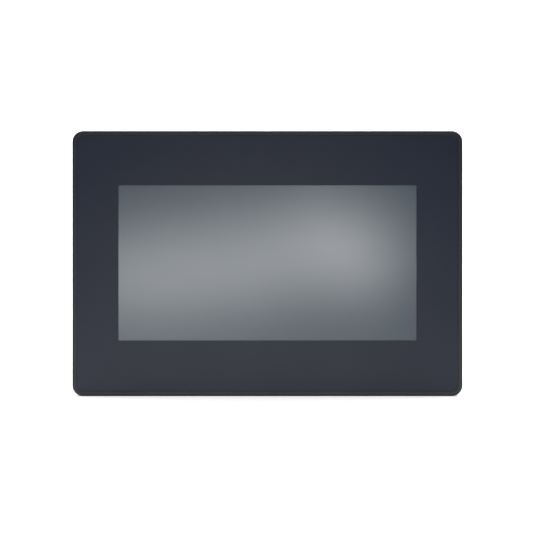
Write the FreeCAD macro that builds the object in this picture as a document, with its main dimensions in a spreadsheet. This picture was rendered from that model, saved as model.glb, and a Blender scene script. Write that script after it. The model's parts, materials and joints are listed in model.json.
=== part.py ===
"""A 7-inch panel-mounted operator touch panel, built as an assembly of separate pieces.

Frame: the origin is the centre of the mounting plane, which is the back face of the front bezel's flange.
X runs right as the operator sees it, Z up, and Y back into the cabinet, so the screen faces -Y.
Layers, from the operator inwards: overlay, resistive touch panel, liquid crystal module, steel bracket,
main board, rear cover. Four screw clamps hook into the cover and press on the cabinet's sheet.
"""

import FreeCAD, Part
import Sketcher

import math
import os

Vector = FreeCAD.Vector
Rotation = FreeCAD.Rotation
Link = Sketcher.Constraint

doc = FreeCAD.newDocument("operator_panel")
sheet = doc.addObject("Spreadsheet::Sheet", "Sizes")
nodes = []
rows_used = []


# ---------------------------------------------------------------- sizes


class Size:
    """A length in mm that carries its number and the sheet expression which gives it."""

    def __init__(self, number, text):
        self.number = float(number)
        self.text = text

    def __add__(self, other):
        other = size(other)
        return Size(self.number + other.number, f"({self.text} + {other.text})")

    def __sub__(self, other):
        other = size(other)
        return Size(self.number - other.number, f"({self.text} - {other.text})")

    def __mul__(self, other):
        other = size(other)
        return Size(self.number * other.number, f"({self.text} * {other.text})")

    def __truediv__(self, other):
        other = size(other)
        return Size(self.number / other.number, f"({self.text} / {other.text})")

    def __neg__(self):
        return Size(-self.number, f"(0 - {self.text})")

    def __radd__(self, other):
        return size(other) + self

    def __rsub__(self, other):
        return size(other) - self

    def __rmul__(self, other):
        return size(other) * self


def size(value):
    """A plain number as a Size; a Size is returned as it is."""
    if isinstance(value, Size):
        return value
    return Size(value, f"({float(value)})")


def cell(alias, number):
    """Writes one driving dimension to the sheet and returns it."""
    row = len(rows_used) + 1
    rows_used.append(alias)
    sheet.set(f"A{row}", alias)
    sheet.set(f"B{row}", str(number))
    sheet.setAlias(f"B{row}", alias)
    return Size(number, f"Sizes.{alias}")


def bind(thing, path, value):
    """Binds a property of a document object to a size."""
    thing.setExpression(path, size(value).text)


# Front bezel
bezel_width = cell("bezel_width", 206.7)
bezel_height = cell("bezel_height", 140.5)
bezel_corner = cell("bezel_corner", 5.8)
bezel_depth = cell("bezel_depth", 6.0)
bezel_edge = cell("bezel_edge", 1.2)
flange_edge = cell("flange_edge", 0.5)
lip_width = cell("lip_width", 2.3)
recess_depth = cell("recess_depth", 0.5)
overlay_gap = cell("overlay_gap", 0.35)
overlay_thick = cell("overlay_thick", 0.3)
window_width = cell("window_width", 157.7)
window_height = cell("window_height", 82.1)
window_rise = cell("window_rise", 0.3)
ledge_thick = cell("ledge_thick", 1.0)
ledge_cover = cell("ledge_cover", 3.8)
fit_gap = cell("fit_gap", 0.25)
small_gap = cell("small_gap", 0.1)

# Resistive touch panel
touch_margin = cell("touch_margin", 5.5)
film_thick = cell("film_thick", 0.2)
glass_thick = cell("glass_thick", 1.8)
tape_thick = cell("tape_thick", 0.2)

# Liquid crystal module
module_margin_x = cell("module_margin_x", 5.5)
module_margin_z = cell("module_margin_z", 6.7)
module_depth = cell("module_depth", 5.7)
module_skin = cell("module_skin", 0.4)
module_foam = cell("module_foam", 0.6)
module_opening = cell("module_opening", 1.0)
cell_thick = cell("cell_thick", 1.2)
diffuser_thick = cell("diffuser_thick", 0.5)
guide_thick = cell("guide_thick", 2.5)
tray_wall = cell("tray_wall", 1.2)

# Housing behind the cabinet's sheet
housing_width = cell("housing_width", 189.0)
housing_height = cell("housing_height", 123.0)
housing_corner = cell("housing_corner", 4.0)
wall = cell("wall", 2.5)
skirt_depth = cell("skirt_depth", 5.0)
part_line = cell("part_line", 0.2)
cover_back = cell("cover_back", 32.5)
cover_edge = cell("cover_edge", 2.0)
lip_thick = cell("lip_thick", 1.2)
lip_reach = cell("lip_reach", 2.0)
bay_width = cell("bay_width", 136.0)
bay_roof = cell("bay_roof", -30.0)
bay_floor = cell("bay_floor", 10.5)
groove_inner = cell("groove_inner", 1.8)
groove_width = cell("groove_width", 3.0)
groove_depth = cell("groove_depth", 1.5)
gasket_proud = cell("gasket_proud", 0.6)

# Fastenings
post_x = cell("post_x", 86.0)
post_z = cell("post_z", 53.5)
post_radius = cell("post_radius", 3.6)
post_hole = cell("post_hole", 1.7)
head_hole = cell("head_hole", 3.1)
head_sink = cell("head_sink", 2.6)
pilot_radius = cell("pilot_radius", 1.55)
screw_radius = cell("screw_radius", 1.5)
screw_head = cell("screw_head", 2.75)
screw_head_height = cell("screw_head_height", 1.9)
cross_length = cell("cross_length", 2.9)
cross_width = cell("cross_width", 0.75)
cross_depth = cell("cross_depth", 1.1)
boss_radius = cell("boss_radius", 2.5)
boss_side_x = cell("boss_side_x", 87.4)
boss_side_z = cell("boss_side_z", 30.0)
boss_top_z = cell("boss_top_z", 51.8)

# Steel bracket, standoffs and main board
bracket_width = cell("bracket_width", 180.4)
bracket_height = cell("bracket_height", 112.0)
bracket_thick = cell("bracket_thick", 1.0)
bracket_notch_x = cell("bracket_notch_x", 10.0)
bracket_notch_z = cell("bracket_notch_z", 9.0)
bracket_flange = cell("bracket_flange", 2.8)
standoff_radius = cell("standoff_radius", 2.6)
board_front = cell("board_front", 14.0)
board_thick = cell("board_thick", 1.6)
board_width = cell("board_width", 164.0)
board_top = cell("board_top", 56.0)
board_bottom = cell("board_bottom", -27.0)
board_hole_x = cell("board_hole_x", 77.0)
board_hole_top = cell("board_hole_top", 51.0)
board_hole_low = cell("board_hole_low", -21.0)

# Flexible tails and their sockets
tail_x = cell("tail_x", -45.0)
tail_width = cell("tail_width", 8.0)
tail_notch = cell("tail_notch", 4.3)
tail_drop = cell("tail_drop", -48.6)
flex_thick = cell("flex_thick", 0.3)
flex_run = cell("flex_run", 6.3)
display_flex_x = cell("display_flex_x", 10.0)
display_flex_width = cell("display_flex_width", 26.0)
socket_z = cell("socket_z", -14.0)
socket_depth = cell("socket_depth", 1.8)
socket_height = cell("socket_height", 4.5)

# Connectors at the board's lower edge, which face down into the cable bay
mouth_z = cell("mouth_z", -30.2)
plug_x = cell("plug_x", -52.0)
plug_y = cell("plug_y", 20.1)
pole_pitch = cell("pole_pitch", 5.08)
dip_x = cell("dip_x", -34.0)
dip_y = cell("dip_y", 18.5)
dip_pitch = cell("dip_pitch", 2.54)
reset_x = cell("reset_x", -24.0)
reset_y = cell("reset_y", 18.8)
usb_device_x = cell("usb_device_x", -12.0)
usb_host_x = cell("usb_host_x", 4.0)
ethernet_x = cell("ethernet_x", 24.0)
com_x = cell("com_x", 49.0)
com_y = cell("com_y", 22.0)
com_screw_pitch = cell("com_screw_pitch", 25.0)

# Battery, its hatch and the rating label
battery_x = cell("battery_x", 45.0)
battery_z = cell("battery_z", 40.0)
hatch_width = cell("hatch_width", 30.0)
hatch_low = cell("hatch_low", 23.0)
hatch_high = cell("hatch_high", 59.4)
hatch_top_thick = cell("hatch_top_thick", 0.8)
hatch_tongue = cell("hatch_tongue", 0.9)
label_x = cell("label_x", -36.0)
label_z = cell("label_z", 4.0)
label_width = cell("label_width", 74.0)
label_height = cell("label_height", 42.0)

# Screw clamps
clamp_x = cell("clamp_x", 78.0)
clamp_width = cell("clamp_width", 12.0)
slot_front = cell("slot_front", 13.0)
slot_length = cell("slot_length", 8.0)
neck_length = cell("neck_length", 3.9)
clamp_block = cell("clamp_block", 11.0)
clamp_height = cell("clamp_height", 7.4)
clamp_axis = cell("clamp_axis", 4.2)
hook_thick = cell("hook_thick", 1.2)
foot_front = cell("foot_front", 6.0)
foot_radius = cell("foot_radius", 3.6)

# Y levels of the stack, front to back
front_y = -bezel_depth
recess_y = front_y + recess_depth
glass_y = recess_y + film_thick
tape_y = glass_y + glass_thick
ledge_y = tape_y + tape_thick
pocket_y = ledge_y + ledge_thick
module_y = pocket_y + module_foam
bracket_y = module_y + module_depth
board_back = board_front + board_thick
cover_front = skirt_depth + part_line
back_inside = cover_back - wall

# Sizes that follow from others
touch_width = window_width + 2 * touch_margin
touch_height = window_height + 2 * touch_margin
ledge_width = touch_width - 2 * ledge_cover
ledge_height = touch_height - 2 * ledge_cover
module_width = window_width + 2 * module_margin_x
module_height = window_height + 2 * module_margin_z
opening_width = window_width + 2 * module_opening
opening_height = window_height + 2 * module_opening
inside_width = module_width - 2 * module_skin
inside_height = module_height - 2 * module_skin
sheet_width = inside_width - 2 * tray_wall - 2 * small_gap
sheet_height = inside_height - 2 * tray_wall - 2 * small_gap
cell_y = module_y + module_skin
diffuser_y = cell_y + cell_thick
guide_y = diffuser_y + diffuser_thick
tray_y = guide_y + guide_thick
lamp_height = cell_thick + diffuser_thick
inner_width = housing_width - 2 * wall
inner_height = housing_height - 2 * wall
inner_corner = housing_corner - wall + 1
roof_inside = bay_roof + wall


# ---------------------------------------------------------------- tools


def place(thing, x=0, y=0, z=0, rotation=None):
    """Puts an object at sizes x, y, z, turned by a fixed rotation."""
    thing.Placement = FreeCAD.Placement(Vector(0, 0, 0), rotation or Rotation())
    bind(thing, "Placement.Base.x", x)
    bind(thing, "Placement.Base.y", y)
    bind(thing, "Placement.Base.z", z)
    return thing


def node(thing, label):
    """Names a finished sub-part, which is then written to parts/."""
    thing.Label = label
    nodes.append(thing)
    return thing


def new_body(name):
    return doc.addObject("PartDesign::Body", name)


PLANES = {"front": ("XZ_Plane", -1), "level": ("XY_Plane", 1), "side": ("YZ_Plane", 1)}


def sketch(body, facing, at):
    """A sketch on the body's own plane: front looks along Y (u = X, v = Z), level along Z (u = X, v = Y),
    side along X (u = Y, v = Z). at is the sketch's place along that axis."""
    role, sign = PLANES[facing]
    drawing = body.newObject("Sketcher::SketchObject", body.Name + "_sketch")
    plane = next(f for f in body.Origin.OriginFeatures if f.Role == role)
    drawing.AttachmentSupport = (plane, [""])
    drawing.MapMode = "FlatFace"
    drawing.AttachmentOffset = FreeCAD.Placement(Vector(0, 0, sign * size(at).number), Rotation())
    bind(drawing, "AttachmentOffset.Base.z", sign * size(at))
    return drawing


def dimension(drawing, kind, *where, value):
    index = drawing.addConstraint(Link(kind, *where, size(value).number))
    drawing.setExpression(f"Constraints[{index}]", size(value).text)


def pin_point(drawing, line, end, u, v):
    """Fixes a point of the sketch at u, v from its origin."""
    dimension(drawing, "DistanceX", -1, 1, line, end, value=u)
    dimension(drawing, "DistanceY", -1, 1, line, end, value=v)


def polygon(drawing, corners):
    """A closed outline of straight lines, with every corner fixed."""
    points = [Vector(size(u).number, size(v).number, 0) for u, v in corners]
    first = len(drawing.Geometry)
    count = len(points)
    for i in range(count):
        drawing.addGeometry(Part.LineSegment(points[i], points[(i + 1) % count]), False)
    for i in range(count):
        drawing.addConstraint(Link("Coincident", first + i, 2, first + (i + 1) % count, 1))
    for i, (u, v) in enumerate(corners):
        pin_point(drawing, first + i, 1, u, v)


def rectangle(drawing, width, height, u=0, v=0, corner=None):
    """A rectangle centred on u, v, with rounded corners if corner is given."""
    width, height, u, v = size(width), size(height), size(u), size(v)
    left, right, low, high = u - width / 2, u + width / 2, v - height / 2, v + height / 2
    if corner is None:
        polygon(drawing, [(left, low), (right, low), (right, high), (left, high)])
        return
    r = size(corner).number
    x0, x1, y0, y1 = left.number, right.number, low.number, high.number
    ends = [
        (x0 + r, y0, x1 - r, y0),
        (x1, y0 + r, x1, y1 - r),
        (x1 - r, y1, x0 + r, y1),
        (x0, y1 - r, x0, y0 + r),
    ]
    centres = [(x1 - r, y0 + r, -90), (x1 - r, y1 - r, 0), (x0 + r, y1 - r, 90), (x0 + r, y0 + r, 180)]
    first = len(drawing.Geometry)
    for (a, b, c, d), (cx, cy, start) in zip(ends, centres):
        drawing.addGeometry(Part.LineSegment(Vector(a, b, 0), Vector(c, d, 0)), False)
        circle_of = Part.Circle(Vector(cx, cy, 0), Vector(0, 0, 1), r)
        arc = Part.ArcOfCircle(circle_of, math.radians(start), math.radians(start + 90))
        drawing.addGeometry(arc, False)
    for i in range(4):
        line, arc, following = first + 2 * i, first + 2 * i + 1, first + (2 * i + 2) % 8
        drawing.addConstraint(Link("Tangent", line, 2, arc, 1))
        drawing.addConstraint(Link("Tangent", arc, 2, following, 1))
        drawing.addConstraint(Link("Vertical" if i % 2 else "Horizontal", line))
        if i:
            drawing.addConstraint(Link("Equal", first + 1, arc))
    dimension(drawing, "Radius", first + 1, value=corner)
    dimension(drawing, "DistanceX", -1, 1, first + 6, 1, value=left)
    dimension(drawing, "DistanceX", -1, 1, first + 2, 1, value=right)
    dimension(drawing, "DistanceY", -1, 1, first, 1, value=low)
    dimension(drawing, "DistanceY", -1, 1, first + 4, 1, value=high)


def circle(drawing, radius, u=0, v=0):
    u, v = size(u), size(v)
    centre = Vector(u.number, v.number, 0)
    index = drawing.addGeometry(Part.Circle(centre, Vector(0, 0, 1), size(radius).number), False)
    dimension(drawing, "Radius", index, value=radius)
    pin_point(drawing, index, 3, u, v)


def checked(feature, grows, before):
    """Recomputes and stops unless the feature changed the solid the way it should."""
    doc.recompute()
    after = feature.Shape.Volume
    if (after > before) != grows or abs(after - before) < 1e-6:
        raise RuntimeError(f"{feature.Name} left the volume at {after:.2f}, from {before:.2f}")
    return feature


def pad(body, drawing, length, reverse=False):
    """Adds material from the sketch. A front sketch pads towards -Y, or +Y with reverse."""
    before = body.Shape.Volume if body.Tip else 0.0
    feature = body.newObject("PartDesign::Pad", body.Name + "_pad")
    feature.Profile = drawing
    feature.Length = size(length).number
    bind(feature, "Length", length)
    feature.Reversed = reverse
    return checked(feature, True, before)


def pocket(body, drawing, depth, reverse=False):
    """Cuts from the sketch. A front sketch cuts towards +Y, or -Y with reverse."""
    before = body.Shape.Volume
    feature = body.newObject("PartDesign::Pocket", body.Name + "_pocket")
    feature.Profile = drawing
    feature.Length = size(depth).number
    bind(feature, "Length", depth)
    feature.Reversed = reverse
    return checked(feature, False, before)


def row_of(body, feature, drawing, axis, span, count):
    """Repeats a feature count times along a sketch axis, over span."""
    before = body.Shape.Volume
    pattern = body.newObject("PartDesign::LinearPattern", body.Name + "_row")
    pattern.Originals = [feature]
    pattern.Direction = (drawing, [axis])
    pattern.Length = size(span).number
    bind(pattern, "Length", span)
    pattern.Occurrences = count
    body.Tip = pattern
    doc.recompute()
    if abs(body.Shape.Volume - before) < 1e-6:
        raise RuntimeError(f"{pattern.Name} changed nothing")
    return pattern


def soften(body, kind, reach, wanted):
    """A Fillet or Chamfer on the edges for which wanted(edge) is true."""
    base = body.Tip
    edges = [f"Edge{i + 1}" for i, edge in enumerate(base.Shape.Edges) if wanted(edge)]
    feature = body.newObject("PartDesign::" + kind, body.Name + "_" + kind.lower())
    feature.Base = (base, edges)
    path = "Radius" if kind == "Fillet" else "Size"
    setattr(feature, path, size(reach).number)
    bind(feature, path, reach)
    doc.recompute()
    return feature


def flat_edge(axis, at, tolerance=1e-4):
    """A test for edges that lie wholly in the plane where axis (0, 1 or 2) has the value at."""

    def test(edge):
        box = edge.BoundBox
        low = (box.XMin, box.YMin, box.ZMin)[axis]
        high = (box.XMax, box.YMax, box.ZMax)[axis]
        return abs(low - size(at).number) < tolerance and abs(high - size(at).number) < tolerance

    return test


def block(name, width, height, depth, x=0, y=0, z=0):
    """A box centred on x and z, from y back to y + depth."""
    box = doc.addObject("Part::Box", name)
    for path, value in (("Length", width), ("Width", depth), ("Height", height)):
        setattr(box, path, size(value).number)
        bind(box, path, value)
    return place(box, x - size(width) / 2, y, z - size(height) / 2)


def together(name, *things):
    """Separate solids kept in one object."""
    group = doc.addObject("Part::Compound", name)
    group.Links = list(things)
    doc.recompute()
    return group


def copy_of(master, name, x=0, y=0, z=0, rotation=None):
    link = doc.addObject("App::Link", name)
    link.LinkedObject = master
    return place(link, x, y, z, rotation)


def copies(label, master, places):
    """One node that holds a copy of the master at each place."""
    links = [copy_of(master, f"{label}_{i}", *at) for i, at in enumerate(places)]
    return node(together(label, *links), label)


def frame(label, width, height, opening_width, opening_height, y, depth, z=0, corner=None, inner=None):
    """A flat rectangular ring, from y back to y + depth."""
    body = new_body(label)
    drawing = sketch(body, "front", y)
    rectangle(drawing, width, height, 0, z, corner)
    rectangle(drawing, opening_width, opening_height, 0, z, inner)
    pad(body, drawing, depth, reverse=True)
    return node(body, label)


def plate(label, width, height, y, depth, x=0, z=0, corner=None):
    """A flat rectangular sheet, from y back to y + depth."""
    body = new_body(label)
    drawing = sketch(body, "front", y)
    rectangle(drawing, width, height, x, z, corner)
    pad(body, drawing, depth, reverse=True)
    return node(body, label)


def four(x, z):
    """The four places at plus and minus x and z, as (x, z)."""
    return [(x, z), (-x, z), (-x, -z), (x, -z)]


# ---------------------------------------------------------------- front


def front_bezel():
    """The moulded front frame: flange, overlay recess, touch seat, skirt, gasket groove and screw bosses."""
    body = new_body("front_bezel")
    outline = sketch(body, "front", 0)
    rectangle(outline, bezel_width, bezel_height, corner=bezel_corner)
    pad(body, outline, bezel_depth)
    soften(body, "Fillet", bezel_edge, flat_edge(1, front_y))
    soften(body, "Fillet", flange_edge, flat_edge(1, 0))

    recess = sketch(body, "front", front_y)
    rectangle(
        recess,
        bezel_width - 2 * lip_width,
        bezel_height - 2 * lip_width,
        corner=bezel_corner - lip_width,
    )
    pocket(body, recess, recess_depth)

    seat = sketch(body, "front", recess_y)
    rectangle(seat, touch_width + 2 * fit_gap, touch_height + 2 * fit_gap, 0, window_rise, 1.0)
    pocket(body, seat, ledge_y - recess_y)

    rear = sketch(body, "front", 0)
    rectangle(rear, inner_width, inner_height, corner=inner_corner)
    pocket(body, rear, -pocket_y, reverse=True)

    opening = sketch(body, "front", ledge_y)
    rectangle(opening, ledge_width, ledge_height, 0, window_rise, 2.0)
    pocket(body, opening, ledge_thick)

    tail_way = sketch(body, "front", recess_y)
    seat_low = window_rise - touch_height / 2
    rectangle(tail_way, tail_width + 4, tail_notch, tail_x, seat_low - tail_notch / 2)
    pocket(body, tail_way, pocket_y - recess_y)

    skirt = sketch(body, "front", 0)
    rectangle(skirt, housing_width, housing_height, corner=housing_corner)
    rectangle(skirt, inner_width, inner_height, corner=inner_corner)
    pad(body, skirt, skirt_depth, reverse=True)

    groove = sketch(body, "front", 0)
    grow = 2 * groove_inner
    rectangle(groove, housing_width + grow, housing_height + grow, corner=housing_corner + groove_inner)
    grow = 2 * (groove_inner + groove_width)
    corner = housing_corner + groove_inner + groove_width
    rectangle(groove, housing_width + grow, housing_height + grow, corner=corner)
    pocket(body, groove, groove_depth, reverse=True)

    posts = sketch(body, "front", pocket_y)
    for x, z in four(post_x, post_z):
        circle(posts, post_radius, x, z)
    pad(body, posts, skirt_depth - pocket_y, reverse=True)

    bosses = sketch(body, "front", pocket_y)
    for x, z in bracket_fixings():
        circle(bosses, boss_radius, x, z)
    pad(body, bosses, bracket_y - pocket_y, reverse=True)

    pilots = sketch(body, "front", skirt_depth)
    for x, z in four(post_x, post_z) + bracket_fixings():
        circle(pilots, pilot_radius, x, z)
    pocket(body, pilots, skirt_depth - pocket_y, reverse=True)
    return node(body, "front_bezel")


def bracket_fixings():
    """Where the steel bracket is screwed to the bezel, as (x, z)."""
    return four(boss_side_x, boss_side_z) + [(size(0), boss_top_z), (size(0), -boss_top_z)]


def front_overlay():
    """The printed polyester sheet that fills the bezel's recess round the window."""
    inset = 2 * (lip_width + overlay_gap)
    body = new_body("front_overlay")
    drawing = sketch(body, "front", recess_y)
    corner = bezel_corner - lip_width - overlay_gap
    rectangle(drawing, bezel_width - inset, bezel_height - inset, corner=corner)
    rectangle(drawing, window_width, window_height, 0, window_rise, 0.4)
    pad(body, drawing, overlay_thick)
    return node(body, "front_overlay")


def touch_panel():
    """The four-wire touch sensor: flexible top film, glass behind it and the tape that holds them."""
    plate("touch_film", touch_width, touch_height, recess_y, film_thick, z=window_rise, corner=0.8)
    plate("touch_glass", touch_width, touch_height, glass_y, glass_thick, z=window_rise, corner=0.8)
    frame(
        "touch_tape",
        touch_width - 1,
        touch_height - 1,
        ledge_width,
        ledge_height,
        tape_y,
        tape_thick,
        window_rise,
        inner=2.0,
    )


def panel_gasket():
    """The rubber seal in the flange's groove, which the cabinet's sheet squeezes."""
    body = new_body("panel_gasket")
    drawing = sketch(body, "front", -groove_depth)
    near = groove_inner + small_gap
    far = groove_inner + groove_width - small_gap
    for reach in (near, far):
        grow = 2 * reach
        rectangle(drawing, housing_width + grow, housing_height + grow, corner=housing_corner + reach)
    pad(body, drawing, groove_depth + gasket_proud, reverse=True)
    soften(body, "Fillet", 0.5, flat_edge(1, gasket_proud))
    return node(body, "panel_gasket")


def module_frame():
    """The display module's foam seal and its steel front frame."""
    frame(
        "lcd_gasket",
        module_width - 2,
        module_height - 2,
        opening_width + 2,
        opening_height + 2,
        pocket_y,
        module_foam,
        window_rise,
    )

    body = new_body("lcd_frame")
    outline = sketch(body, "front", module_y)
    rectangle(outline, module_width, module_height, 0, window_rise, 0.6)
    pad(body, outline, module_depth - module_skin, reverse=True)
    hollow = sketch(body, "front", module_y + module_skin)
    rectangle(hollow, inside_width, inside_height, 0, window_rise)
    pocket(body, hollow, module_depth)
    opening = sketch(body, "front", module_y)
    rectangle(opening, opening_width, opening_height, 0, window_rise)
    pocket(body, opening, module_skin)
    node(body, "lcd_frame")


def module_sheets():
    """The display module's liquid crystal cell, diffuser, light guide and row of lamps."""
    plate("lcd_cell", sheet_width, sheet_height, cell_y, cell_thick, z=window_rise)
    plate("lcd_diffuser", sheet_width, sheet_height, diffuser_y, diffuser_thick, z=window_rise)
    guide_height = sheet_height - lamp_height
    plate("lcd_light_guide", sheet_width, guide_height, guide_y, guide_thick, z=window_rise + lamp_height / 2)

    bar_z = window_rise - sheet_height / 2 + lamp_height / 4
    strip_height = lamp_height / 2 - small_gap
    bar = [block("lamp_strip", sheet_width, strip_height, guide_thick - 0.4, 0, guide_y + 0.2, bar_z)]
    lamp_z = bar_z + lamp_height / 2
    lamps = 16
    for i in range(lamps):
        x = sheet_width * ((i + 0.5) / lamps - 0.5)
        bar.append(block(f"lamp_{i}", 3.0, lamp_height / 2 - 0.2, 1.2, x, guide_y + 0.6, lamp_z))
    node(together("lcd_lamp_bar", *bar), "lcd_lamp_bar")


def module_tray():
    """The white tray that holds the sheets, with its steel back."""
    body = new_body("lcd_tray")
    inside = (inside_width - 2 * small_gap, inside_height - 2 * small_gap)
    walls = sketch(body, "front", cell_y)
    rectangle(walls, *inside, 0, window_rise)
    rectangle(walls, sheet_width + small_gap, sheet_height + small_gap, 0, window_rise)
    pad(body, walls, tray_y - cell_y, reverse=True)
    base = sketch(body, "front", tray_y)
    rectangle(base, *inside, 0, window_rise)
    pad(body, base, bracket_y - module_skin - tray_y, reverse=True)
    cap = sketch(body, "front", bracket_y - module_skin)
    rectangle(cap, module_width, module_height, 0, window_rise, 0.6)
    pad(body, cap, module_skin, reverse=True)
    node(body, "lcd_tray")


def ribbon(label, x, width, path):
    """A flexible tail: a strip whose centre line follows path, given as (y, z) places in the side view."""
    body = new_body(label)
    drawing = sketch(body, "side", x - width / 2)
    half = flex_thick / 2
    near = [(y + side_y * half, z + side_z * half) for y, z, side_y, side_z in path]
    far = [(y - side_y * half, z - side_z * half) for y, z, side_y, side_z in reversed(path)]
    polygon(drawing, near + far)
    pad(body, drawing, width)
    return node(body, label)


def tails():
    """The touch sensor's and the display's ribbons, each led through the bracket to a socket."""
    socket_low = socket_z - socket_height / 2
    socket_mid = board_front - socket_depth / 2
    seat_low = window_rise - touch_height / 2
    end = [(flex_run, board_bottom + 0.5, 1, 0), (socket_mid, -21, 1, 0), (socket_mid, socket_low, 1, 0)]
    start = [(glass_y + flex_thick / 2, seat_low, -1, 0), (glass_y + flex_thick / 2, tail_drop, -1, -1)]
    ribbon("touch_tail", tail_x, tail_width, start + [(flex_run, tail_drop, 1, -1)] + end)
    on_tray = bracket_y + flex_thick / 2
    start = [(on_tray, -44.5, 1, 0), (on_tray, -40, 1, 0), (flex_run, -36, 1, 0)]
    ribbon("lcd_flex", display_flex_x, display_flex_width, start + end)


# ---------------------------------------------------------------- bracket and board


def hexagon(drawing, across, u=0, v=0):
    """A regular hexagon of a given width across its flats."""
    reach = size(across) / math.sqrt(3)
    corners = []
    for i in range(6):
        angle = math.radians(60 * i)
        corners.append((u + reach * math.cos(angle), v + reach * math.sin(angle)))
    polygon(drawing, corners)


def cross_head_screw(name, length):
    """A pan-head screw along Y. Its head's seat is at y = 0 and its shank runs towards -Y."""
    body = new_body(name)
    head = sketch(body, "front", 0)
    circle(head, screw_head)
    pad(body, head, screw_head_height, reverse=True)
    soften(body, "Fillet", 0.7, flat_edge(1, screw_head_height))
    shank = sketch(body, "front", 0)
    circle(shank, screw_radius)
    pad(body, shank, length)
    soften(body, "Chamfer", 0.4, flat_edge(1, -size(length)))
    recess = sketch(body, "front", screw_head_height)
    a, b = cross_width / 2, cross_length / 2
    upper_arms = [(b, -a), (b, a), (a, a), (a, b), (-a, b), (-a, a)]
    lower_arms = [(-b, a), (-b, -a), (-a, -a), (-a, -b), (a, -b), (a, -a)]
    polygon(recess, upper_arms + lower_arms)
    pocket(body, recess, cross_depth, reverse=True)
    return body


def display_bracket():
    """The steel sheet that holds the display module down and carries the main board."""
    body = new_body("display_bracket")
    drawing = sketch(body, "front", bracket_y)
    a, b = bracket_width / 2, bracket_height / 2
    c, d = a - bracket_notch_x, b - bracket_notch_z
    right_side = [(c, -b), (c, -d), (a, -d), (a, d), (c, d), (c, b)]
    left_side = [(-c, b), (-c, d), (-a, d), (-a, -d), (-c, -d), (-c, -b)]
    polygon(drawing, right_side + left_side)
    pad(body, drawing, bracket_thick, reverse=True)
    flanges = sketch(body, "front", bracket_y + bracket_thick)
    for side in (1, -1):
        rectangle(flanges, 140, bracket_thick, 0, side * (b - bracket_thick / 2))
    pad(body, flanges, bracket_flange, reverse=True)
    openings = sketch(body, "front", bracket_y)
    for x, z in bracket_fixings() + standoff_places():
        circle(openings, screw_radius + small_gap, x, z)
    rectangle(openings, tail_width + 3, 2.6, tail_x, tail_drop, 0.6)
    rectangle(openings, display_flex_width + 4, 9, display_flex_x, -41, 0.6)
    for x in (-60, -20, 20, 60):
        rectangle(openings, 26, 12, x, 32, 2)
        rectangle(openings, 26, 12, x, 8, 2)
    pocket(body, openings, bracket_thick)
    node(body, "display_bracket")

    back = bracket_y + bracket_thick
    fixing = cross_head_screw("bracket_screw", 6.4)
    copies("bracket_screws", fixing, [(x, back, z) for x, z in bracket_fixings()])


def standoff_places():
    """Where the board stands on the bracket, as (x, z)."""
    return [(board_hole_x * side, z) for side in (1, -1) for z in (board_hole_top, board_hole_low)]


def main_board():
    """The circuit board with its standoffs and screws."""
    body = new_body("main_board")
    drawing = sketch(body, "front", board_front)
    rectangle(drawing, board_width, board_top - board_bottom, 0, (board_top + board_bottom) / 2, 1.5)
    for x, z in standoff_places():
        circle(drawing, screw_radius + small_gap, x, z)
    pad(body, drawing, board_thick, reverse=True)
    node(body, "main_board")

    back = bracket_y + bracket_thick
    pillar = new_body("board_standoff")
    outline = sketch(pillar, "front", 0)
    hexagon(outline, 2 * standoff_radius)
    circle(outline, pilot_radius)
    pad(pillar, outline, board_front - back, reverse=True)
    copies("board_standoffs", pillar, [(x, back, z) for x, z in standoff_places()])
    fixing = cross_head_screw("board_screw", 6)
    copies("board_screws", fixing, [(x, board_back, z) for x, z in standoff_places()])


def processor_and_cooler():
    """The processor and the finned heat sink stuck to it."""
    plate("processor", 19, 19, board_back, 1.6, x=-20, z=24)
    body = new_body("heat_sink")
    base = sketch(body, "front", board_back + 1.6)
    rectangle(base, 28, 28, -20, 24, 0.5)
    pad(body, base, 2.2, reverse=True)
    fin = sketch(body, "front", board_back + 3.8)
    rectangle(fin, 1.2, 28, -33.4, 24)
    row_of(body, pad(body, fin, 7.2, reverse=True), fin, "H_Axis", 26.8, 8)
    node(body, "heat_sink")


def chips_and_passives():
    """The board's smaller chips, and rows of resistors and ceramic capacitors."""
    # Width, height, thickness, x, z of each chip: memory pair, flash, network, serial, touch, regulators
    chips = [
        (12.0, 9.0, 1.1, -46, 31),
        (12.0, 9.0, 1.1, -46, 17),
        (12.0, 18.0, 1.1, 6, 24),
        (7.0, 7.0, 0.9, 24, -2),
        (10.2, 7.5, 1.4, 49, -9),
        (5.0, 5.0, 0.9, -45, -6),
        (5.0, 4.0, 1.4, -52, 4),
        (6.5, 6.1, 2.3, -72, 4),
        (3.2, 2.5, 0.8, -20, 5),
        (11.4, 4.6, 3.5, 8, 8),
    ]
    bodies = [block(f"chip_{i}", w, h, t, x, board_back, z) for i, (w, h, t, x, z) in enumerate(chips)]
    node(together("board_chips", *bodies), "board_chips")

    rows = [(-70, 45.5, 14), (-46, 41, 8), (0, 12.8, 9), (14, -7.2, 4), (38, 18, 12), (38, 10, 12)]
    bodies = []
    for row, (x, z, count) in enumerate(rows):
        for i in range(count):
            bodies.append(block(f"passive_{row}_{i}", 1.0, 1.8, 0.7, x + 3 * i, board_back, z))
    node(together("chip_passives", *bodies), "chip_passives")


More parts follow.
